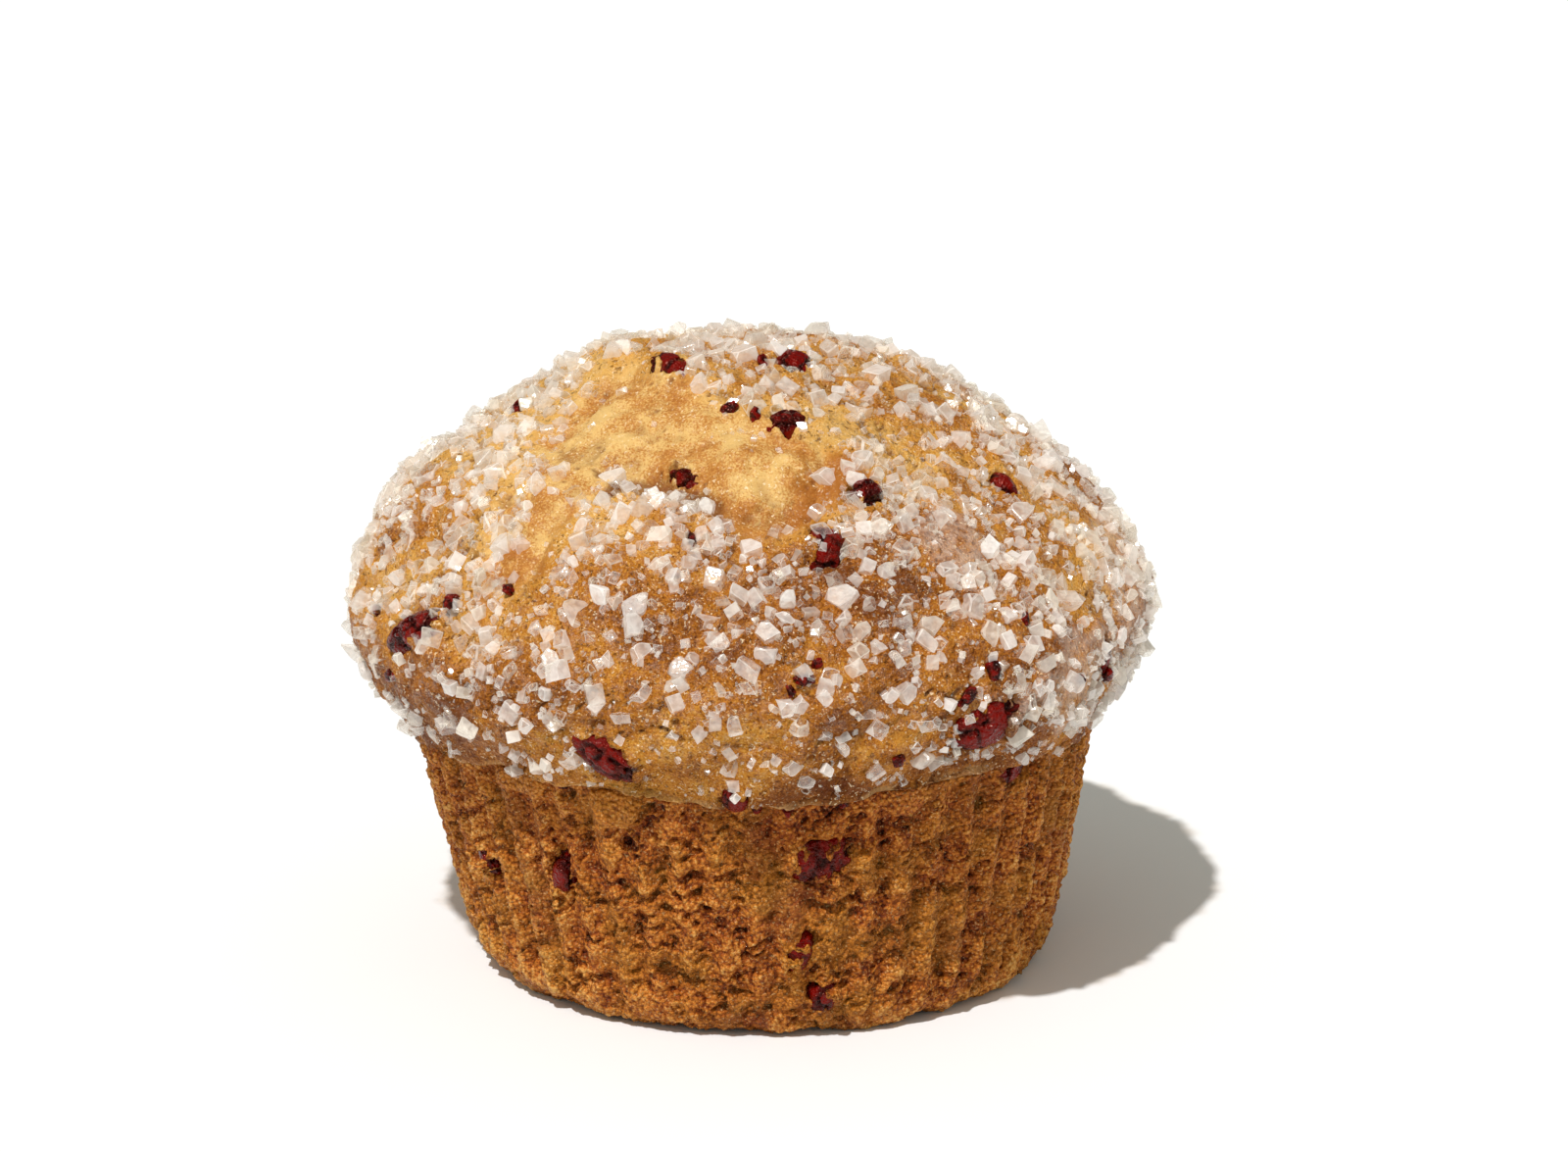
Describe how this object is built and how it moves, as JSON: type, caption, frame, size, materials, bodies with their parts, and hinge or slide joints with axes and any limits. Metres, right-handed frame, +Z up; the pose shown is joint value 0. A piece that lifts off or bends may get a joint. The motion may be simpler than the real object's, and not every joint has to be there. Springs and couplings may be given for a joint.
{
  "type": "muffin",
  "caption": "Large baked muffin with a fluted side, a domed split cap, coarse sugar crystals on the crust and pieces of dried cranberry set in the crumb.",
  "frame": {"origin": "middle of the foot, on the floor, at the centre of the bounding box in X and Y", "axes": "+Z up; -Y is the side that the picture shows, with the split of the crust and +X to its right"},
  "size_m": [0.1002, 0.1002, 0.0784],
  "materials": {
    "crust": "baked golden crust and brown crumb",
    "sugar": "clear to milky coarse sugar crystals",
    "cranberry": "dark red, wrinkled and sticky"
  },
  "bodies": {
    "root": {"muffin": "crust", "cranberry_left_rim": "cranberry", "cranberry_front_low": "cranberry", "cranberry_front_lip": "cranberry", "cranberry_middle": "cranberry", "cranberry_crevice": "cranberry", "cranberry_crack": "cranberry", "cranberry_crown_back": "cranberry", "cranberry_crown_front": "cranberry", "cranberry_crown_left": "cranberry", "cranberry_left_shoulder": "cranberry", "cranberry_right_shoulder": "cranberry", "cranberry_right_rim": "cranberry", "cranberry_right_low": "cranberry", "cranberry_under_lip": "cranberry", "cranberry_side_ring": "cranberry", "cranberry_side_middle": "cranberry", "cranberry_side_low": "cranberry", "cranberry_side_left": "cranberry", "cranberry_side_far_left": "cranberry", "cranberry_side_right": "cranberry", "cranberry_side_back_right": "cranberry", "cranberry_side_back_left": "cranberry", "cranberry_back_rim": "cranberry", "cranberry_back_right": "cranberry", "cranberry_back_left": "cranberry", "cranberry_back_crown": "cranberry", "cranberry_back_low": "cranberry"}
  },
  "joints": []
}
